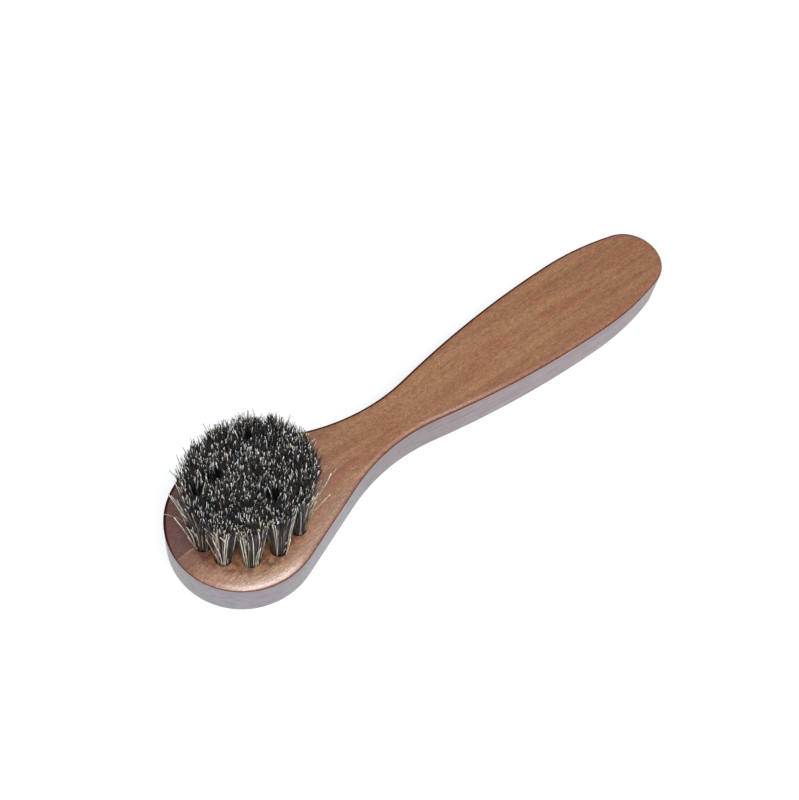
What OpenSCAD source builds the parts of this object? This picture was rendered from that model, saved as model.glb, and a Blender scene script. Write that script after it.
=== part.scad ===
// Shoe shine brush: a spoon-shaped wooden board with tufts of horsehair in its
// round head. Each tuft stands in its own drilled hole, folded round a small
// flat metal anchor that is driven across the bottom of the hole.
// The origin is the middle of the flat underside. +X runs to the end of the
// handle, and +Z runs up through the bristles.

/* [Board] */
// Overall length of the board
board_l = 170; // [150:1:190]
// Thickness of the board
board_t = 13.5; // [12:0.5:18]
// Diameter of the round head
head_d = 40.5; // [38:0.5:46]
// Length of the straight shoulder between the head and the neck
shoulder_l = 22.5; // [10:0.5:28]
// Width of the neck at its narrowest place
neck_w = 13.5; // [11:0.5:18]
// Distance from the head's tip to the narrowest place
neck_from_tip = 69; // [64:1:76]
// Width of the handle at its widest place
handle_w = 26.4; // [22:0.2:32]
// Distance from the widest place to the end of the handle
wide_from_end = 32; // [26:1:40]
// Radius of the rounded end of the handle
end_r = 10.3; // [7:0.1:10.9]
// Width of the softened edge, measured across the face
edge_w = 1.6; // [0.8:0.1:2.4]
// Depth of the softened edge, measured down the side
edge_h = 1; // [0.5:0.1:1.5]

/* [Bristle field] */
// Distance from the head's edge to the middle of the tufts along it, at the
// tip and at both sides
field_margin = 7.75; // [7:0.25:8.5]
// How much longer than wide the field is, towards the handle
field_stretch = 4; // [0:0.5:6]
// Height of the longest strands above the board
bristle_h = 23; // [14:0.5:32]
// How far the shortest strands fall short of that height
uneven = 1.4; // [0:0.1:3]
// How far the tip of a strand may stand out of its row
wander = 0.2; // [0:0.05:0.3]
// Radius of a strand at its tip
strand_tip_r = 0.15; // [0.08:0.01:0.3]

/* [Holes and anchors] */
// Diameter of each drilled hole
hole_d = 4.5; // [3.8:0.1:5]
// Depth of each hole down to the shoulder of its drill point
hole_depth = 8.5; // [6:0.5:9.5]
// Depth of the cone that the drill point leaves
drill_point_h = 0.9; // [0.4:0.1:1.2]
// Length of each anchor across its hole
anchor_l = 5.6; // [5.2:0.1:6.2]
// Height of each anchor
anchor_h = 1.8; // [1.2:0.1:2.4]
// Thickness of the anchor's metal
anchor_t = 0.35; // [0.25:0.05:0.6]
// Height of the anchor's lower edge above the shoulder of the drill point
anchor_lift = 1; // [0.6:0.1:1.5]

/* [Clearances] */
// Gap between the root of a tuft and the wall of its hole
root_gap = 0.04; // [0.02:0.01:0.1]
// Gap round an anchor, in the wood and in the hair
anchor_gap = 0.03; // [0.02:0.01:0.1]
// Least gap between one strand and the next
strand_gap = 0.1; // [0.05:0.01:0.2]

/* [Hidden] */
// Rings round the middle tuft of the field, and their names
tuft_rings = 2;
RING_NAMES = ["middle", "inner", "outer"];
// Rings round the middle strand of a tuft, and the sides of a strand
strand_rings = 2;
strand_sides = 4;
// Height of the bend of a strand, as a part of its length
strand_bend = 0.6;
// How far the root of a strand reaches down into the root of its tuft
strand_seat = 0.5;
// Turn between one count of a scattered value and the next
golden_turn = 137.508;
// Steps along the arcs of the head, the neck, the side, the shoulder behind
// the widest place and the end, and steps round the softened edge
ARC_STEPS = [22, 9, 4, 5, 12];
edge_steps = 3;
hole_sides = 40;
past = 1;

// Places along the board
tip_x = -board_l / 2;
end_x = board_l / 2;
head_r = head_d / 2;
head_x = tip_x + head_r;
neck_x = tip_x + neck_from_tip;
wide_x = end_x - wide_from_end;

// The oval of the bristle field, between the middles of its outer tufts
field_w = head_d - 2 * field_margin;
field_l = field_w + field_stretch;
field_x = tip_x + field_margin + field_l / 2;

// The hollow side of the neck: its radius lets the straight shoulder touch
// both it and the head
neck_run = neck_x - head_x;
neck_r = (neck_run ^ 2 + neck_w ^ 2 / 4 - head_r ^ 2 - shoulder_l ^ 2) / (head_d - neck_w);
neck_c = [neck_x, neck_w / 2 + neck_r];
shoulder_turn = atan2(neck_c.y, neck_run) + acos((head_r + neck_r) / norm([neck_run, neck_c.y]));

// The full side of the handle, level at the widest place and touching the
// hollow of the neck
side_run = wide_x - neck_x;
side_rise = (handle_w - neck_w) / 2;
side_r = (side_run ^ 2 + side_rise ^ 2) / (2 * side_rise) - neck_r;
side_c = [wide_x, handle_w / 2 - side_r];
neck_turn = atan2(side_c.y - neck_c.y, side_c.x - neck_c.x);

// The side behind the widest place, which closes onto the rounded end
rear_r = ((wide_from_end - end_r) ^ 2 + handle_w ^ 2 / 4 - end_r ^ 2) / (handle_w - 2 * end_r);
rear_c = [wide_x, handle_w / 2 - rear_r];
end_c = [end_x - end_r, 0];
end_turn = atan2(end_c.y - rear_c.y, end_c.x - rear_c.x);

// Arcs of half the outline from the head's tip to the end: centre, radius,
// first and last direction, and 1 where the arc bulges or -1 where it hollows
ARCS = [
    [[head_x, 0], head_r, 180, shoulder_turn, 1],
    [neck_c, neck_r, shoulder_turn - 180, neck_turn, -1],
    [side_c, side_r, neck_turn + 180, 90, 1],
    [rear_c, rear_r, 90, end_turn, 1],
    [end_c, end_r, end_turn, 0, 1]];

// Depths in the holes
hole_floor = board_t - hole_depth;
anchor_z = hole_floor + anchor_lift;

// Tufts of the field and strands of a tuft, each as its ring and its number there
TUFTS = ring_places(tuft_rings);
STRANDS = ring_places(strand_rings);
TUFT_SPOTS = [for (tuft = TUFTS) tuft_spot(tuft[0], tuft[1])];
TUFT_NAMES = [for (tuft = TUFTS) tuft_name(tuft[0], tuft[1])];

// How far the outer strands of a tuft lie from its middle: at the root they
// stay one gap inside its rim, and at the tip they come close to the next tuft
root_r = hole_d / 2 - root_gap;
root_reach = (2 * root_r - strand_gap) * strand_rings / (2 * strand_rings + 1);
tip_reach = (least_gap(TUFT_SPOTS) - strand_gap) / 2 - strand_tip_r - wander;
bend_reach = root_reach + (tip_reach - root_reach) * strand_bend;

// Places in one ring, and the places of all rings
function ring_count(ring) = max(1, 6 * ring);
function ring_places(rings) = [for (ring = [0:rings]) for (i = [0:ring_count(ring) - 1]) [ring, i]];

// Place of the tuft number i of a ring, on an oval that shares the middle of the field
function tuft_spot(ring, i) =
    let (share = ring / tuft_rings / 2, turn = 360 * i / ring_count(ring))
    [field_x + share * field_l * cos(turn), share * field_w * sin(turn)];

function tuft_name(ring, i) =
    ring == 0 ? str(RING_NAMES[ring], "_tuft") : str(RING_NAMES[ring], "_tuft_", i + 1);

// Least distance between any two of the places
function least_gap(spots) =
    min([for (i = [0:len(spots) - 2]) for (j = [i + 1:len(spots) - 1]) norm(spots[i] - spots[j])]);

// Thickest radius of a strand that its neighbours leave room for
function strand_r(reach) = (reach / strand_rings - strand_gap) / 2;

// A scattered value between -1 and 1
function scatter(count) = sin(count * golden_turn);

// Half the outline, drawn in from the true one by the inset
function half_outline(inset) = [
    for (n = [0:len(ARCS) - 1])
        let (arc = ARCS[n], r = arc[1] - arc[4] * inset, first = n < 2 ? 0 : 1)
            for (s = [first:ARC_STEPS[n]])
                let (turn = arc[2] + (arc[3] - arc[2]) * s / ARC_STEPS[n])
                    arc[0] + r * [cos(turn), sin(turn)]];

// The whole outline at one height, counter-clockwise seen from above
function outline_ring(inset, z) =
    let (half = half_outline(inset), last = len(half) - 1)
    concat(
        [for (p = half) [p.x, -p.y, z]],
        [for (i = [last - 1:-1:1]) [half[i].x, half[i].y, z]]);

// Inset and height of each ring round the lower edge
function edge_profile() = [
    for (s = [0:edge_steps])
        let (turn = 90 * s / edge_steps)
            [edge_w * (1 - sin(turn)), edge_h * (1 - cos(turn))]];

// The board before it is drilled: rings of its outline, from the underside to
// the top, with both edges softened
module board_blank() {
    lower = edge_profile();
    upper = [for (i = [edge_steps:-1:0]) [lower[i][0], board_t - lower[i][1]]];
    levels = concat(lower, upper);
    points = [for (level = levels) each outline_ring(level[0], level[1])];
    around = len(outline_ring(0, 0));
    half = around / 2;
    top = around * (len(levels) - 1);
    sides = [
        for (k = [0:len(levels) - 2])
            for (i = [0:around - 1])
                let (a = k * around + i, b = k * around + (i + 1) % around)
                    each [[a, a + around, b + around], [a, b + around, b]]];
    // Both faces are bands across the board, because its outline is hollow
    bands = [
        for (i = [0:half - 1])
            let (a = i, b = i + 1, c = (around - i - 1) % around, d = (around - i) % around)
                each i == 0 ? [[a, b, c]] : (i == half - 1 ? [[a, b, d]] : [[a, b, c], [a, c, d]])];
    polyhedron(
        points = points,
        faces = concat(
            sides,
            bands,
            [for (band = bands) [band[2] + top, band[1] + top, band[0] + top]]));
}

// A blind hole with the cone of its drill point, open at the top
module drilled_hole() {
    translate([0, 0, hole_floor])
        cylinder(d = hole_d, h = hole_depth + past, $fn = hole_sides);
    translate([0, 0, hole_floor - drill_point_h])
        cylinder(d1 = 0, d2 = hole_d, h = drill_point_h, $fn = hole_sides);
}

// An anchor, or the room for one when grown by a gap
module anchor(gap = 0) {
    translate([-anchor_t / 2 - gap, -anchor_l / 2 - gap, anchor_z - gap])
        cube([anchor_t + 2 * gap, anchor_l + 2 * gap, anchor_h + 2 * gap]);
}

// A strand with corners round each of its middles
module strand(middles, radii, turn) {
    levels = len(middles);
    points = [
        for (k = [0:levels - 1])
            for (i = [0:strand_sides - 1])
                let (a = turn + 360 * i / strand_sides)
                    middles[k] + radii[k] * [cos(a), sin(a), 0]];
    sides = [
        for (k = [0:levels - 2])
            for (i = [0:strand_sides - 1])
                let (a = k * strand_sides + i, b = k * strand_sides + (i + 1) % strand_sides)
                    each [[a, a + strand_sides, b + strand_sides], [a, b + strand_sides, b]]];
    top = strand_sides * (levels - 1);
    polyhedron(
        points = points,
        faces = concat(
            sides,
            [[for (i = [0:strand_sides - 1]) i]],
            [[for (i = [strand_sides - 1:-1:0]) top + i]]));
}

// The folded root of a tuft, packed into its hole round the anchor
module tuft_root() {
    difference() {
        translate([0, 0, hole_floor])
            cylinder(r = root_r, h = hole_depth, $fn = hole_sides);
        anchor(anchor_gap);
    }
}

// Strands of the tuft with the given number, which spread from root to tip.
// The middle one stands straight, at the full height
module tuft_strands(number) {
    for (i = [0:len(STRANDS) - 1]) {
        ring = STRANDS[i][0];
        turn = 360 * STRANDS[i][1] / ring_count(ring) + golden_turn * number;
        away = ring / strand_rings * [cos(turn), sin(turn), 0];
        count = i == 0 ? 0 : i + len(STRANDS) * number;
        length = bristle_h - uneven * abs(scatter(count));
        drift = wander * [scatter(2 * count), scatter(3 * count), 0];
        strand(
            middles = [
                root_reach * away + [0, 0, board_t - strand_seat],
                bend_reach * away + [0, 0, board_t + length * strand_bend],
                tip_reach * away + drift + [0, 0, board_t + length]],
            radii = [strand_r(root_reach), strand_r(bend_reach), strand_tip_r],
            turn = turn);
    }
}

module brush_board() {
    color("#8f6448")
        difference() {
            board_blank();
            for (spot = TUFT_SPOTS)
                translate(spot) {
                    drilled_hole();
                    anchor(anchor_gap);
                }
        }
}

module tuft(number) {
    color("#2b2724")
        translate(TUFT_SPOTS[number]) {
            tuft_root();
            tuft_strands(number);
        }
}

module tuft_anchors() {
    color("#b8b2a6")
        for (spot = TUFT_SPOTS)
            translate(spot)
                anchor();
}

brush_board();
for (number = [0:len(TUFTS) - 1])
    tuft(number);
tuft_anchors();
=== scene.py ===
import math

import bmesh
import bpy
import numpy as np
from mathutils import Matrix, Vector


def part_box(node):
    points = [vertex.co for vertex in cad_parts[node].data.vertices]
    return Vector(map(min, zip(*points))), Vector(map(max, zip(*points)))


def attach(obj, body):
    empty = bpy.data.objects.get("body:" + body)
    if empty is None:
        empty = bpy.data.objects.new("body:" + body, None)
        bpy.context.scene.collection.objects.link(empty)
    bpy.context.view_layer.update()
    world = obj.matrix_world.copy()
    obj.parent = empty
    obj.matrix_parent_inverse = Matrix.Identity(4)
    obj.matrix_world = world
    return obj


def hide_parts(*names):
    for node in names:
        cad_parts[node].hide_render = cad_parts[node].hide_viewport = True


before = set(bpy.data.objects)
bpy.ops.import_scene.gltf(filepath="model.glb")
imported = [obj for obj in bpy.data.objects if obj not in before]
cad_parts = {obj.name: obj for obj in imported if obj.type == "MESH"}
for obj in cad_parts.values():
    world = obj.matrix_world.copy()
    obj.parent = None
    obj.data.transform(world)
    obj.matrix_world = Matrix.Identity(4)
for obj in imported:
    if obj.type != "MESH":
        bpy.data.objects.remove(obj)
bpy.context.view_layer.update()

MM = 0.001
SEED = 7

# Sizes of the board, in millimetres. The frame gives the first three
low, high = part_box("brush_board")
BOARD_L = (high[0] - low[0]) / MM
BOARD_T = (high[2] - low[2]) / MM
HEAD_D = (high[1] - low[1]) / MM
SHOULDER_L = 22.5
NECK_W = 13.5
NECK_FROM_TIP = 69
HANDLE_W = 26.4
WIDE_FROM_END = 32
END_R = 10.3
EDGE_W = 1.6
EDGE_H = 1.0
# The field of tufts: its margin to the head's rim, and how much longer than wide it is
FIELD_MARGIN = 7.75
FIELD_STRETCH = 4
FIELD_W = HEAD_D - 2 * FIELD_MARGIN
FIELD_L = FIELD_W + FIELD_STRETCH
# Rings of tufts round the middle one. Each ring has this many more than the one inside it
TUFT_RINGS = 2
TUFTS_MORE = 6
BRISTLE_H = 23
# The holes, whose floors the hair hides, and the width of their broken rims
HOLE_D = 4.5
HOLE_DEPTH = 9
HOLE_RIM = 0.18
# Width and fall of the head's softly sanded border, the share of the edge's own fall that is left
# below it, where it dies out towards the handle, and how far to each side of that it fades
SANDED_W = 5.5
SANDED_H = 0.85
SANDED_EDGE = 0.35
SANDED_END = -34
SANDED_FADE = 12
# Insets of the outline's rings on each face, inside the rounded edge
FACE_INSETS = (SANDED_W, 4.8, 4.1, 3.4, 2.7, EDGE_W + 0.5)
# Fineness of the board's mesh, and the angle in degrees from which an edge looks sharp
EDGE_STEPS = 12
WALL_LEVELS = 3
HOLE_SIDES = 48
SHARP_ANGLE = 30
# Nothing on the board's surface changes further than this from its outline
DEPTH_LIMIT = 6


def mesh_object(name, vertices, faces, materials, slots=None):
    """An object from vertices in millimetres, and the material of each face if there are several."""
    mesh = bpy.data.meshes.new(name)
    mesh.from_pydata(np.asarray(vertices) * MM, [], faces)
    for material in materials:
        mesh.materials.append(material)
    if slots is not None:
        mesh.polygons.foreach_set("material_index", slots)
    mesh.validate()
    piece = bpy.data.objects.new(name, mesh)
    bpy.context.scene.collection.objects.link(piece)
    return piece


# Materials


class Shader:
    """A procedural material, with one short call for each node."""

    def __init__(self, name, **constants):
        self.material = bpy.data.materials.new(name)
        self.material.use_nodes = True
        self.tree = self.material.node_tree
        self.surface = self.tree.nodes["Principled BSDF"]
        self.dress(**constants)

    def dress(self, **values):
        """Give the surface numbers or outputs, by the names of its sockets."""
        for socket, value in values.items():
            self.put(self.surface.inputs[socket.replace("_", " ")], value)

    def node(self, kind, inputs=(), **settings):
        made = self.tree.nodes.new("ShaderNode" + kind)
        for key, value in settings.items():
            setattr(made, key, value)
        for socket, value in dict(inputs).items():
            self.put(made.inputs[socket], value)
        return made

    def put(self, socket, value):
        """Link an output to the socket, or set its number, vector or colour of three numbers."""
        if isinstance(value, bpy.types.NodeSocket):
            self.tree.links.new(value, socket)
        elif socket.type == "RGBA":
            socket.default_value = (*value, 1)
        else:
            socket.default_value = value

    def place(self, stretch=(1, 1, 1)):
        """Coordinates in millimetres, each times its stretch: features per millimetre."""
        at = self.node("TexCoord").outputs["Object"]
        scale = [s / MM for s in stretch]
        return self.node("VectorMath", {0: at, 1: scale}, operation="MULTIPLY").outputs[0]

    def axes(self, vector):
        """The X, Y and Z of a vector."""
        parts = self.node("SeparateXYZ", {0: vector})
        return [parts.outputs[axis] for axis in "XYZ"]

    def noise(self, stretch, detail=3, roughness=0.55, distortion=0):
        spots = {"Vector": self.place(stretch), "Scale": 1, "Detail": detail,
                 "Roughness": roughness, "Distortion": distortion}
        return self.node("TexNoise", spots).outputs["Fac"]

    def ramp(self, fac, *stops):
        """A colour or grey ramp: each stop is its place and its value."""
        made = self.node("ValToRGB", {"Fac": fac})
        band = made.color_ramp
        while len(band.elements) < len(stops):
            band.elements.new(1)
        for element, (place, value) in zip(band.elements, stops):
            element.position = place
            element.color = (*value, 1) if isinstance(value, tuple) else (value, value, value, 1)
        return made.outputs["Color"]

    def mix(self, fac, a, b, blend="MIX"):
        made = self.node("Mix", data_type="RGBA", blend_type=blend)
        self.put(made.inputs["Factor"], fac)
        colours = [socket for socket in made.inputs if socket.type == "RGBA"]
        self.put(colours[0], a)
        self.put(colours[1], b)
        return made.outputs[2]

    def math(self, operation, a, b=0.0):
        return self.node("Math", {0: a, 1: b}, operation=operation).outputs[0]

    def times(self, first, *others):
        for other in others:
            first = self.math("MULTIPLY", first, other)
        return first

    def rest(self, share):
        """What a share leaves of 1."""
        return self.math("SUBTRACT", 1.0, share)

    def fade(self, value, start, end):
        """0 at start and 1 at end, with a soft step between them."""
        spots = {"Value": value, "From Min": start, "From Max": end}
        return self.node("MapRange", spots, interpolation_type="SMOOTHSTEP").outputs[0]

    def bump(self, height, strength, distance):
        """Fine relief in the surface and its coat, from a height of 0 to 1 times the distance."""
        relief = {"Height": height, "Strength": strength, "Distance": distance * MM}
        normal = self.node("Bump", relief).outputs["Normal"]
        self.dress(Normal=normal, Coat_Normal=normal)


def linear(red, green, blue):
    """A colour as shader numbers from its sRGB values, 0 to 255."""
    return tuple(
        c / 255 / 12.92 if c < 10.3 else ((c / 255 + 0.055) / 1.055) ** 2.4
        for c in (red, green, blue))


# Each pair of numbers below says where a mark starts and where it is full: in millimetres along the
# board, across it or in from its outline, or as levels of the noise that it comes from

# The stain's bands from dark to light, its redder blotches and its redder border along the edge
BANDS = ((0.3, linear(151, 100, 66)), (0.5, linear(165, 116, 79)), (0.7, linear(172, 127, 86)))
BLOTCH = linear(160, 96, 66)
BLOTCH_LEVELS = (0.48, 0.72)
BORDER = linear(150, 92, 74)
BORDER_DEPTHS = (3.2, 0.4)
BORDER_STRENGTH = 0.4
# Painted shadow and reflection of the tufts: darker orange-brown patches round them, which die out
# towards the handle and towards the edge
TUFT_SHADE = linear(120, 68, 44)
TUFT_SHADE_LEVELS = (0.42, 0.6)
TUFT_SHADE_DEPTHS = (3, 5)
TUFT_SHADE_ENDS = (-48, -58)
TUFT_SHADE_STRENGTH = 0.85
# The darker colour on one half of the head: its crisp seam and the softer veil beside it, the share
# of each, how much the seam wavers, and where it dies out towards the handle
DARK = linear(108, 57, 48)
DARK_SEAM = (0.4, 1.3)
DARK_VEIL = (-6.5, -2.5)
DARK_SHARES = (0.4, 0.6)
DARK_WAVER = 1.2
DARK_ENDS = (-56, -72)
DARK_STRENGTH = 0.92
# The pale scratch along the dark half: its place across the head, its half width and its end
SCRATCH = linear(226, 204, 190)
SCRATCH_Y = 0.2
SCRATCH_SIDES = (0.18, 0.04)
SCRATCH_ENDS = (-78.5, -79.5)
SCRATCH_STRENGTH = 0.35
DUST = linear(222, 200, 180)
DUST_LEVELS = (0.84, 0.88)
DUST_STRENGTH = 0.6
# How strong the grain's streaks, flecks, pores and speckle are, and its relief, in which flecks
# count for less than pores
STREAKS, FLECKS, PORES, SPECKLE = 0.4, 1.0, 0.5, 1.0
FLECK_RELIEF = 0.8
RELIEF_STRENGTH = 0.5
RELIEF_DEPTH = 0.075
# Where the stained top starts inside the outline, and the heights over which the side turns to its
# painted pale reflection
TOP_DEPTHS = (0.01, 0.07)
SIDE_HEIGHTS = (0.05, 0.2)
# The greys of the sides, a painted reflection of the white floor, and how they are tinted from the
# head's end, dimmer and bluer, to the handle's, brighter and warmer
SIDE_REFLECTION_GREYS = ((0.3, linear(116, 110, 114)), (0.7, linear(153, 145, 150)))
SIDE_REFLECTION_TINTS = ((0, (0.8, 0.79, 0.84)), (1, (1.2, 1.07, 1.04)))
SIDE_ENDS = (-70, 30)
# The burnished line along the upper edge, and how much broader and darker it is painted on the far
# side, which faces away from the lamps: painted shade
BURNT = linear(64, 27, 21)
BURNT_DEPTHS = (0.38, 0.16)
FAR_SHADE_WIDER = 0.5
FAR_SHADE_DARKER = 0.5
BURNT_STRENGTH = 0.7
# The share of the head's lacquer that the handle has, and of a face's that the sides have
HANDLE_LACQUER = 0.55
SIDE_LACQUER = 0.5


def stained(wood, depth):
    """The stain: bands along the board, redder blotches and a redder border."""
    stain = wood.ramp(wood.noise((0.02, 0.22, 0.22), detail=4, distortion=0.5), *BANDS)
    blotches = wood.noise((0.05, 0.2, 0.2), detail=5, roughness=0.65)
    stain = wood.mix(wood.fade(blotches, *BLOTCH_LEVELS), stain, BLOTCH)
    border = wood.times(wood.fade(depth, *BORDER_DEPTHS), BORDER_STRENGTH)
    return wood.mix(border, stain, BORDER)


def head_marked(wood, stain, x, y, depth, top):
    """Marks on the top: painted shadow and reflection of the tufts round their bases, and the darker
    half of the head with its scratch.
    """
    # Painted shadow and reflection of the tufts: darker patches round their bases on the head
    tuft_shade_spots = wood.fade(wood.noise((0.45, 0.45, 0.45)), *TUFT_SHADE_LEVELS)
    inside = wood.fade(depth, *TUFT_SHADE_DEPTHS)
    along = wood.fade(x, *TUFT_SHADE_ENDS)
    stain = wood.mix(wood.times(tuft_shade_spots, inside, top, along, TUFT_SHADE_STRENGTH), stain, TUFT_SHADE)

    waver = wood.times(wood.noise((0.4, 0.4, 0.4)), DARK_WAVER)
    across = wood.math("ADD", y, waver)
    seam = wood.times(wood.fade(across, *DARK_SEAM), DARK_SHARES[0])
    veil = wood.times(wood.fade(across, *DARK_VEIL), DARK_SHARES[1])
    along = wood.fade(x, *DARK_ENDS)
    dark = wood.times(wood.math("ADD", seam, veil), along, top, DARK_STRENGTH)
    stain = wood.mix(dark, stain, DARK)

    off_line = wood.math("ABSOLUTE", wood.math("SUBTRACT", y, SCRATCH_Y))
    along = wood.fade(x, *SCRATCH_ENDS)
    scratch = wood.times(wood.fade(off_line, *SCRATCH_SIDES), along, top, SCRATCH_STRENGTH)
    return wood.mix(scratch, stain, SCRATCH)


def wood_material():
    """Walnut-stained wood under a thin lacquer, with burnished upper edges, painted shade that makes
    their line broader and darker on the far side, and sides painted pale grey as a reflection of the
    white floor.
    """
    wood = Shader("wood", Coat_Roughness=0.26, Coat_IOR=2.03)
    x, y, height = wood.axes(wood.place())
    depth = wood.node("Attribute", attribute_name="edge_mm").outputs["Fac"]
    top = wood.fade(height, BOARD_T / 2, BOARD_T / 2 + 1)
    face = wood.times(wood.fade(depth, *TOP_DEPTHS), top)
    sides = wood.times(wood.rest(face), wood.fade(height, *SIDE_HEIGHTS))
    stain = head_marked(wood, stained(wood, depth), x, y, depth, top)

    # The grain: soft streaks, short flecks, fine pores, speckle and a little dust
    streaks = wood.ramp(wood.noise((0.025, 0.6, 0.6), roughness=0.6), (0.36, 0.6), (0.54, 1.0))
    flecks = wood.noise((0.8, 1.9, 1.9), distortion=0.4)
    flecks = wood.ramp(flecks, (0.3, 0.72), (0.5, 0.98), (0.72, 1.24))
    pores = wood.ramp(wood.noise((0.35, 3.4, 3.4), detail=2), (0.57, 1.0), (0.7, 0.5))
    speckle = wood.ramp(wood.noise((2.6, 4, 4), detail=1), (0.35, 0.76), (0.65, 1.24))
    grain = ((STREAKS, streaks), (FLECKS, flecks), (PORES, pores), (SPECKLE, speckle))
    for strength, marks in grain:
        stain = wood.mix(strength, stain, marks, "MULTIPLY")
    dust = wood.fade(wood.noise((1.7, 1.7, 1.7), detail=0), *DUST_LEVELS)
    stain = wood.mix(wood.times(dust, DUST_STRENGTH), stain, DUST)

    # The sides, painted pale grey as a reflection of the white floor, which end at the burnished line
    # along the upper edge
    grey = wood.ramp(wood.noise((0.12, 0.5, 0.9), detail=5, roughness=0.7), *SIDE_REFLECTION_GREYS)
    # The painted reflection on the sides is dimmer and bluer at the head's end and brighter and
    # warmer at the handle's
    tint = wood.ramp(wood.fade(x, *SIDE_ENDS), *SIDE_REFLECTION_TINTS)
    stain = wood.mix(sides, stain, wood.mix(1.0, grey, tint, "MULTIPLY"))
    # On the far side, which faces away from the lamps, the burnished line is painted broader and
    # darker: painted shade
    _, facing, _ = wood.axes(wood.node("NewGeometry").outputs["Normal"])
    far_shade = wood.times(wood.fade(facing, 0, 0.25), FAR_SHADE_WIDER)
    line = wood.fade(wood.math("SUBTRACT", depth, far_shade), *BURNT_DEPTHS)
    burnt = wood.times(face, line)
    burn = wood.times(burnt, wood.math("ADD", wood.times(far_shade, FAR_SHADE_DARKER), BURNT_STRENGTH))
    wood.dress(Base_Color=wood.mix(burn, stain, BURNT))

    # The lacquer is full on the head and thinner on the handle and sides. The burnished edge has none
    head = wood.fade(x, SANDED_END + SANDED_FADE, SANDED_END - SANDED_FADE)
    lacquer = wood.math("ADD", wood.times(head, 1 - HANDLE_LACQUER), HANDLE_LACQUER)
    lacquer = wood.times(lacquer, wood.rest(wood.times(sides, 1 - SIDE_LACQUER)), wood.rest(burnt))
    wood.dress(
        Coat_Weight=lacquer,
        Specular_IOR_Level=wood.times(wood.rest(burnt), 0.3),
        Roughness=wood.ramp(flecks, (0.7, 0.42), (1.0, 0.55)))
    relief = wood.math("ADD", pores, wood.times(flecks, FLECK_RELIEF))
    wood.bump(relief, RELIEF_STRENGTH, RELIEF_DEPTH)
    return wood.material


def hair_material(name, root, tip, roughness):
    """Horsehair: it pales towards the tip and varies from hair to hair."""
    hair = Shader(name, Roughness=roughness, Specular_IOR_Level=0.4)
    _, _, height = hair.axes(hair.place())
    along = hair.fade(height, BOARD_T, BOARD_T + BRISTLE_H)
    colour = hair.mix(along, linear(*root), linear(*tip))
    spread = hair.ramp(hair.noise((2.2, 2.2, 0.08), detail=1), (0.35, 0.6), (0.65, 1.25))
    hair.dress(Base_Color=hair.mix(1.0, colour, spread, "MULTIPLY"))
    return hair.material


def metal_material():
    """Drawn, galvanised flat wire."""
    metal = Shader("anchor_metal", Metallic=1.0)
    grain = metal.noise((6, 0.6, 6))
    metal.dress(
        Base_Color=metal.ramp(grain, (0.3, linear(150, 146, 138)), (0.7, linear(198, 194, 184))),
        Roughness=metal.ramp(grain, (0.3, 0.28), (0.7, 0.45)))
    return metal.material


# The board


def arc(centre, radius, first, last, steps):
    turn = np.linspace(first, last, steps + 1)
    return centre + radius * np.stack([np.cos(turn), np.sin(turn)], 1)


def half_outline(inset):
    """Half the board's outline from the head's tip to the handle's end, drawn in by the inset."""
    tip, end = -BOARD_L / 2, BOARD_L / 2
    head_r = HEAD_D / 2
    head = np.array([tip + head_r, 0])
    neck_run = NECK_FROM_TIP - head_r
    neck_r = (neck_run**2 + NECK_W**2 / 4 - head_r**2 - SHOULDER_L**2) / (HEAD_D - NECK_W)
    neck = np.array([tip + NECK_FROM_TIP, NECK_W / 2 + neck_r])
    reach = math.hypot(neck_run, neck[1])
    shoulder = math.atan2(neck[1], neck_run) + math.acos((head_r + neck_r) / reach)
    wide = end - WIDE_FROM_END
    run, rise = wide - neck[0], (HANDLE_W - NECK_W) / 2
    side_r = (run**2 + rise**2) / (2 * rise) - neck_r
    side = np.array([wide, HANDLE_W / 2 - side_r])
    neck_turn = math.atan2(side[1] - neck[1], side[0] - neck[0])
    rear_r = ((WIDE_FROM_END - END_R) ** 2 + HANDLE_W**2 / 4 - END_R**2) / (HANDLE_W - 2 * END_R)
    rear = np.array([wide, HANDLE_W / 2 - rear_r])
    last = np.array([end - END_R, 0])
    end_turn = math.atan2(-rear[1], last[0] - wide)
    level = math.pi / 2
    return np.concatenate([
        arc(head, head_r - inset, math.pi, shoulder, steps=44),
        arc(neck, neck_r + inset, shoulder - math.pi, neck_turn, steps=20),
        arc(side, side_r - inset, neck_turn + math.pi, level, steps=10)[1:],
        arc(rear, rear_r - inset, level, end_turn, steps=12)[1:],
        arc(last, END_R - inset, end_turn, 0, steps=24)[1:]])


def outline_ring(inset, z):
    """The whole outline as a ring at a height, drawn in by the inset."""
    half = half_outline(inset)
    around = np.concatenate([half * (1, -1), half[-2:0:-1]])
    return np.column_stack([around, np.full(len(around), z)])


def tuft_spots():
    """Name, middle and ring of each tuft."""
    field = -BOARD_L / 2 + FIELD_MARGIN + FIELD_L / 2
    spots = [("middle_tuft", np.array([field, 0.0]), 0)]
    for ring, name in ((1, "inner_tuft"), (TUFT_RINGS, "outer_tuft")):
        out, count = ring / TUFT_RINGS / 2, TUFTS_MORE * ring
        for i in range(count):
            turn = 2 * math.pi * i / count
            middle = np.array([
                field + out * FIELD_L * math.cos(turn),
                out * FIELD_W * math.sin(turn)])
            spots.append((f"{name}_{i + 1}", middle, ring))
    return spots


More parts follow.
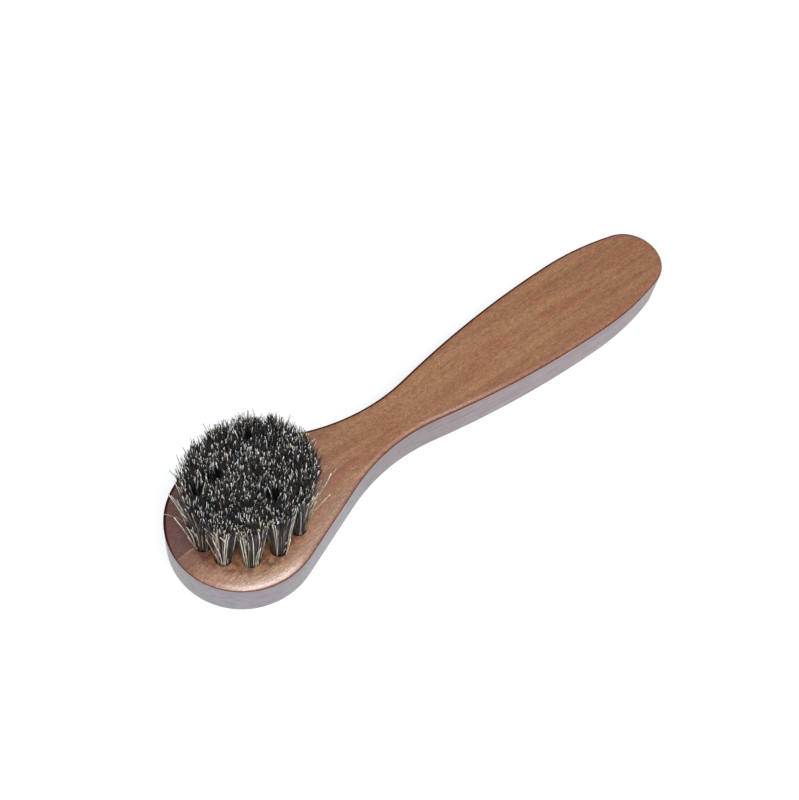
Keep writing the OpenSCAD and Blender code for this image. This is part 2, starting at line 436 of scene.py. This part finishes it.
def board_rings():
    """Rings of the outline from inside the underside, round both edges, to inside the top."""
    turns = np.linspace(0, math.pi / 2, EDGE_STEPS + 1)
    edge = [(EDGE_W * (1 - math.sin(t)), EDGE_H * (1 - math.cos(t))) for t in turns]
    lower = [(inset, 0) for inset in FACE_INSETS] + edge
    walls = [(0, z) for z in np.linspace(EDGE_H, BOARD_T - EDGE_H, WALL_LEVELS + 2)[1:-1]]
    rings = [outline_ring(inset, z) for inset, z in lower + walls]
    for inset, fall in reversed(lower):
        ring = outline_ring(inset, BOARD_T)
        head = ((SANDED_END + SANDED_FADE - ring[:, 0]) / (2 * SANDED_FADE)).clip(0, 1)
        head = head**2 * (3 - 2 * head)
        sanded = SANDED_H * max(1 - inset / SANDED_W, 0) ** 2
        ring[:, 2] -= head * (sanded + SANDED_EDGE * fall) + (1 - head) * fall
        rings.append(ring)
    return rings


def board_faces(around, levels):
    """Quads between the rings, and bands across both faces."""
    faces = []
    for k in range(levels - 1):
        for i in range(around):
            a, b = k * around + i, k * around + (i + 1) % around
            faces.append((a, b, b + around, a + around))
    top = around * (levels - 1)
    for i in range(around // 2):
        band = list(dict.fromkeys((i, i + 1, (around - i - 1) % around, (around - i) % around)))
        faces.append(band[::-1])
        faces.append([top + corner for corner in band])
    return faces


def hole_cutter(spots):
    """All the drilled holes as one cutter, each with a broken rim."""
    radius = HOLE_D / 2
    profile = (
        (radius, BOARD_T - HOLE_DEPTH),
        (radius, BOARD_T - HOLE_RIM),
        (radius + 2 * HOLE_RIM, BOARD_T + HOLE_RIM))
    turn = np.linspace(0, 2 * math.pi, HOLE_SIDES, endpoint=False)
    circle = np.stack([np.cos(turn), np.sin(turn)], 1)
    vertices, faces = [], []
    for _, middle, _ in spots:
        start = len(vertices)
        for away, z in profile:
            vertices.extend((x, y, z) for x, y in middle + away * circle)
        for k in range(len(profile) - 1):
            first = start + k * HOLE_SIDES
            for i in range(HOLE_SIDES):
                a, b = first + i, first + (i + 1) % HOLE_SIDES
                faces.append((a, b, b + HOLE_SIDES, a + HOLE_SIDES))
        faces.append([start + i for i in reversed(range(HOLE_SIDES))])
        faces.append([start + (len(profile) - 1) * HOLE_SIDES + i for i in range(HOLE_SIDES)])
    return mesh_object("hole_cutter", vertices, faces, [])


def distance_to_outline(points):
    """How far each point lies inside the outline, seen from above."""
    start = outline_ring(0, 0)[:, :2]
    step = np.roll(start, -1, 0) - start
    away = points[:, None] - start
    share = ((away * step).sum(2) / (step**2).sum(1)).clip(0, 1)
    return np.linalg.norm(away - share[..., None] * step, axis=2).min(1)


def shade_by_angle(mesh, degrees):
    """Smooth shading, with a sharp edge where faces meet at more than the angle."""
    shape = bmesh.new()
    shape.from_mesh(mesh)
    for face in shape.faces:
        face.smooth = True
    for edge in shape.edges:
        edge.smooth = len(edge.link_faces) == 2 and edge.calc_face_angle() < math.radians(degrees)
    shape.to_mesh(mesh)
    shape.free()


def make_board(spots):
    """The drilled board, with each vertex's distance to the outline for its material."""
    rings = board_rings()
    faces = board_faces(len(rings[0]), len(rings))
    board = mesh_object("board", np.concatenate(rings), faces, [wood_material()])
    cutter = hole_cutter(spots)
    cut = board.modifiers.new("holes", "BOOLEAN")
    cut.operation, cut.solver, cut.object = "DIFFERENCE", "EXACT", cutter
    evaluated = board.evaluated_get(bpy.context.evaluated_depsgraph_get())
    drilled = bpy.data.meshes.new_from_object(evaluated)
    board.modifiers.clear()
    board.data = drilled
    bpy.data.objects.remove(cutter)

    at = np.empty(len(drilled.vertices) * 3)
    drilled.vertices.foreach_get("co", at)
    depth = distance_to_outline(at.reshape(-1, 3)[:, :2] / MM).clip(0, DEPTH_LIMIT)
    drilled.attributes.new("edge_mm", "FLOAT", "POINT").data.foreach_set("value", depth)
    shade_by_angle(drilled, SHARP_ANGLE)
    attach(board, "root")
    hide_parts("brush_board")


# The bristles

HAIRS_IN_TUFT = 560
HAIR_SIDES = 3
# Heights of the rings round a hair and its width there, as shares of the whole
HAIR_LEVELS = np.array([-0.06, 0.0, 0.22, 0.45, 0.68, 0.86, 1.0])
HAIR_TAPER = np.array([1.0, 1.0, 1.0, 0.97, 0.95, 0.88, 0.6])
# Least and greatest radius of a hair, and what the grey and paler ones have more
HAIR_RADII = (0.09, 0.13)
PALE_HAIR_MORE = 0.04
# Radius of a tuft at its roots and at its tips
ROOT_R = HOLE_D / 2 - 0.12
SPREAD_R = 4.1
# How late hairs spread and wander on their way up, how far tips wander and hairs bow, how much
# the hairs fall short, and how that varies
SPREAD_POWER = 1.15
WANDER_POWER = 3
TIP_WANDER = 0.85
HAIR_BOW = 0.35
SHORT_BY = 1.0
SHORT_SPREAD = 0.45
# Kinds of hair, their shares, and their shares on the outer face of the field
BLACK, BROWN, GREY, TAN, CREAM = range(5)
HAIR_SHARES = (0.87, 0.03, 0.02, 0.02, 0.06)
SKIN_SHARES = (0.73, 0.1, 0.02, 0.08, 0.07)
# The outer face: from where in its tuft a root is on it, how far tips lean out, and the share of
# any further lean that is taken back
SKIN_FROM = 1
LEAN = HOLE_D / 2 - 0.3
TAKEN_BACK = 0.75
# Stray hairs: how many, how far out they stand in an outer tuft, and how their roots scatter
STRAYS_IN_OUTER_TUFT = 8
STRAY_OUT = 1.5
STRAY_SCATTER = 0.7
STRAY_SCATTER_MOST = 1.2
# Which way they sway from straight outward, how far, how much they wander, and their lengths
STRAY_TURN = 0.55
STRAY_SWAY = (0.8, 3.0)
STRAY_WANDER = 0.2
STRAY_LENGTHS = (0.4, 0.95)
# Middles, radius and depth of the small dark hollows in the field, whose hairs are also all made
# black as painted shade
HOLLOWS = np.array([(-69.3, 4.9), (-75.0, 4.1), (-61.3, -7.7), (-57.0, 9.6)])
HOLLOW_R = 1.8
HOLLOW_DEPTH = 6


def hair_materials():
    """A material for each kind of hair, in the kinds' order: its root, its tip and its roughness."""
    return [
        hair_material("hair_black", (44, 42, 42), (46, 46, 47), 0.5),
        hair_material("hair_brown", (88, 68, 58), (138, 116, 100), 0.5),
        hair_material("hair_grey", (160, 157, 156), (244, 243, 243), 0.4),
        hair_material("hair_tan", (172, 147, 120), (244, 227, 204), 0.4),
        hair_material("hair_cream", (212, 203, 188), (252, 250, 247), 0.4)]


def disc(rng, count, radius):
    """Points spread evenly over a disc, each a little out of its place."""
    number = np.arange(count) + rng.uniform(-0.4, 0.4, count)
    away = radius * np.sqrt((np.abs(number) + 0.5) / (count + 0.5))
    golden = math.pi * (3 - math.sqrt(5))
    turn = np.arange(count) * golden + rng.uniform(-0.2, 0.2, count)
    return np.stack([away * np.cos(turn), away * np.sin(turn)], 1)


def dress_outer_tuft(rng, outward, root, tip, wander, length, kinds):
    """Change an outer tuft's hairs: a steep outer face with its own colours, and a few strays."""
    over = (tip @ outward - LEAN).clip(0)
    tip -= over[:, None] * TAKEN_BACK * outward
    skin = root @ outward > SKIN_FROM
    kinds[skin] = rng.choice(len(SKIN_SHARES), skin.sum(), p=SKIN_SHARES)

    many = STRAYS_IN_OUTER_TUFT
    stray = rng.choice(HAIRS_IN_TUFT, many, replace=False)
    sway = outward + rng.normal(0, STRAY_TURN, (many, 2))
    scatter = rng.normal(0, STRAY_SCATTER, (many, 2))
    scatter = scatter.clip(-STRAY_SCATTER_MOST, STRAY_SCATTER_MOST)
    root[stray] = STRAY_OUT * outward + scatter
    tip[stray] = root[stray] + sway * rng.uniform(*STRAY_SWAY, (many, 1))
    wander[stray] *= STRAY_WANDER
    length[stray] = rng.uniform(*STRAY_LENGTHS, many) * BRISTLE_H
    kinds[stray] = rng.choice((TAN, CREAM, CREAM), many)


def tuft_hairs(rng, middle, ring, field):
    """Middles of the rings round each hair of a tuft, and the hairs' radii and kinds."""
    root = disc(rng, HAIRS_IN_TUFT, ROOT_R)
    outward = (middle - field) / (np.linalg.norm(middle - field) or 1)
    tip = root * (SPREAD_R / ROOT_R)
    wander = rng.normal(0, TIP_WANDER, tip.shape)
    length = BRISTLE_H + rng.normal(-SHORT_BY, SHORT_SPREAD, HAIRS_IN_TUFT)
    kinds = rng.choice(len(HAIR_SHARES), HAIRS_IN_TUFT, p=HAIR_SHARES)
    if ring == TUFT_RINGS:
        dress_outer_tuft(rng, outward, root, tip, wander, length, kinds)
    away = np.linalg.norm((middle + tip + wander)[:, None] - HOLLOWS, axis=2).min(1)
    # In a hollow the hairs are shorter, which is real depth, and all made black, which is painted
    # shade
    length[away < HOLLOW_R] -= HOLLOW_DEPTH
    kinds[away < HOLLOW_R] = BLACK
    bow = rng.normal(0, HAIR_BOW, root.shape)
    above = HAIR_LEVELS.clip(0)[None, :, None]
    across = root[:, None] + (tip - root)[:, None] * above**SPREAD_POWER
    across += wander[:, None] * above**WANDER_POWER
    across += bow[:, None] * above * (1 - above) * 2
    up = BOARD_T + HAIR_LEVELS[None, :] * length[:, None]
    middles = np.concatenate([middle + across, up[..., None]], 2)
    radii = rng.uniform(*HAIR_RADII, HAIRS_IN_TUFT) + PALE_HAIR_MORE * (kinds >= GREY)
    return middles, radii, kinds


def hair_faces(levels):
    """Faces of one hair: the quads round it and its two ends."""
    step = np.arange(HAIR_SIDES)
    after = np.roll(step, -1)
    quads = np.stack([step, after, after + HAIR_SIDES, step + HAIR_SIDES], 1)
    tube = np.concatenate([quads + k * HAIR_SIDES for k in range(levels - 1)])
    return [*tube, step[::-1], step + (levels - 1) * HAIR_SIDES]


def make_tuft(rng, name, middle, ring, field, materials):
    """A tuft of single hairs, each a thin tapered tube."""
    middles, radii, kinds = tuft_hairs(rng, middle, ring, field)
    hairs, levels = middles.shape[:2]
    first = rng.uniform(0, 2 * math.pi, hairs)[:, None]
    turn = first + np.arange(HAIR_SIDES) * 2 * math.pi / HAIR_SIDES
    corner = np.stack([np.cos(turn), np.sin(turn), np.zeros_like(turn)], 2)
    radius = radii[:, None] * HAIR_TAPER
    vertices = middles[:, :, None] + radius[:, :, None, None] * corner[:, None]

    one = hair_faces(levels)
    each = levels * HAIR_SIDES
    faces = [(face + hair * each).tolist() for hair in range(hairs) for face in one]
    slots = np.repeat(kinds, len(one)).tolist()
    tuft = mesh_object(name + "_hair", vertices.reshape(-1, 3), faces, materials, slots)
    tuft.data.shade_smooth()
    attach(tuft, "root")
    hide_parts(name)


# The scene round the brush

# The floor lies just under the brush, so that it doesn't share a plane with the underside, and it
# fades to plain white between the two distances
FLOOR_HALF = 2000
FLOOR_Z = -0.05
FLOOR_FADE = (300, 700)
FLOOR_PAINT = (0.42, 0.42, 0.43)
# The floor's own light near the brush, what it has more far away, and its colour
FLOOR_GLOW = 0.69
FLOOR_GLOW_MORE = 0.33
FLOOR_GLOW_COLOUR = (0.97, 0.985, 1)
# What the floor and the sky send back to the brush
FLOOR_BOUNCE = (0.9, 0.9, 0.9)
SKY_LEVEL = 0.3
# Each lamp's place in millimetres, its width and depth and its power in watts, and where both aim
LAMP_AIM = (-40, 0, 0)
LAMPS = {
    "key": ((-60, -268, 761), 640, 350, 4.3),
    "fill": ((-480, -380, 380), 500, 500, 1.8)}


def floor_material():
    """A white floor that keeps the brush's soft shadow and shows white in its lacquer."""
    floor = Shader("floor")
    floor.tree.nodes.remove(floor.surface)
    path = floor.node("LightPath")
    seen = floor.math("MAXIMUM", path.outputs["Is Camera Ray"], path.outputs["Is Glossy Ray"])
    seen = floor.math("MAXIMUM", seen, path.outputs["Is Transmission Ray"])
    away = floor.node("VectorMath", {0: floor.place()}, operation="LENGTH").outputs["Value"]
    far = floor.fade(away, *FLOOR_FADE)
    paint = floor.mix(far, FLOOR_PAINT, (0, 0, 0))
    shade = floor.node("BsdfDiffuse", {"Color": paint}).outputs[0]
    strength = floor.math("ADD", floor.times(far, FLOOR_GLOW_MORE), FLOOR_GLOW)
    glow = {"Color": FLOOR_GLOW_COLOUR, "Strength": strength}
    glow = floor.node("Emission", glow).outputs[0]
    shown = floor.node("AddShader", {0: shade, 1: glow}).outputs[0]
    bounce = floor.node("BsdfDiffuse", {"Color": FLOOR_BOUNCE}).outputs[0]
    both = floor.node("MixShader", {0: seen, 1: bounce, 2: shown}).outputs[0]
    floor.tree.links.new(both, floor.tree.nodes["Material Output"].inputs["Surface"])
    return floor.material


def make_floor():
    half, z = FLOOR_HALF, FLOOR_Z
    corners = [(-half, -half, z), (half, -half, z), (half, half, z), (-half, half, z)]
    floor = mesh_object("floor", corners, [(0, 1, 2, 3)], [floor_material()])


def make_camera():
    """The photograph's camera, found by fitting the board's outline to its edges."""
    azimuth, elevation, roll = (math.radians(a) for a in (-48.33, 59.26, 10.57))
    place = Vector((-145.2, -116.7, 316.3)) * MM
    focal_px, picture_px, sensor_mm = 1297, 800, 36
    back = Vector((
        math.sin(azimuth) * math.cos(elevation),
        -math.cos(azimuth) * math.cos(elevation),
        math.sin(elevation)))
    right = Vector((math.cos(azimuth), math.sin(azimuth), 0))
    up = back.cross(right)
    right, up = (
        right * math.cos(roll) + up * math.sin(roll),
        up * math.cos(roll) - right * math.sin(roll))
    data = bpy.data.cameras.new("camera")
    data.sensor_width = sensor_mm
    data.lens = focal_px * sensor_mm / picture_px
    data.clip_start, data.clip_end = 0.01, 20
    camera = bpy.data.objects.new("camera", data)
    turned = Matrix((right, up, back)).transposed().to_4x4()
    camera.matrix_world = Matrix.Translation(place) @ turned
    bpy.context.scene.collection.objects.link(camera)
    bpy.context.scene.camera = camera


def make_lamp(name, place, width, depth, power):
    """A soft rectangular lamp."""
    data = bpy.data.lights.new(name, "AREA")
    data.shape = "RECTANGLE"
    data.size, data.size_y, data.energy = width * MM, depth * MM, power
    lamp = bpy.data.objects.new(name, data)
    lamp.location = Vector(place) * MM
    towards = Vector(LAMP_AIM) - Vector(place)
    lamp.rotation_euler = towards.to_track_quat("-Z", "Y").to_euler()
    bpy.context.scene.collection.objects.link(lamp)


def make_light():
    """The lamps, and a sky that is white in view and gives a low light to the brush."""
    world = bpy.data.worlds.new("studio")
    world.use_nodes = True
    tree = world.node_tree
    sky = tree.nodes["Background"]
    sky.inputs["Color"].default_value = (1, 1, 1, 1)
    level = tree.nodes.new("ShaderNodeMapRange")
    level.inputs["To Min"].default_value = SKY_LEVEL
    path = tree.nodes.new("ShaderNodeLightPath")
    tree.links.new(path.outputs["Is Camera Ray"], level.inputs["Value"])
    tree.links.new(level.outputs[0], sky.inputs["Strength"])
    bpy.context.scene.world = world
    for name, settings in LAMPS.items():
        make_lamp(name, *settings)


bpy.context.scene.view_settings.view_transform = "Standard"
make_camera()
spots = tuft_spots()
make_board(spots)
rng = np.random.default_rng(SEED)
materials = hair_materials()
field = spots[0][1]
for name, middle, ring in spots:
    make_tuft(rng, name, middle, ring, field, materials)
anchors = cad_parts["tuft_anchors"]
anchors.data.materials.clear()
anchors.data.materials.append(metal_material())
make_floor()
make_light()
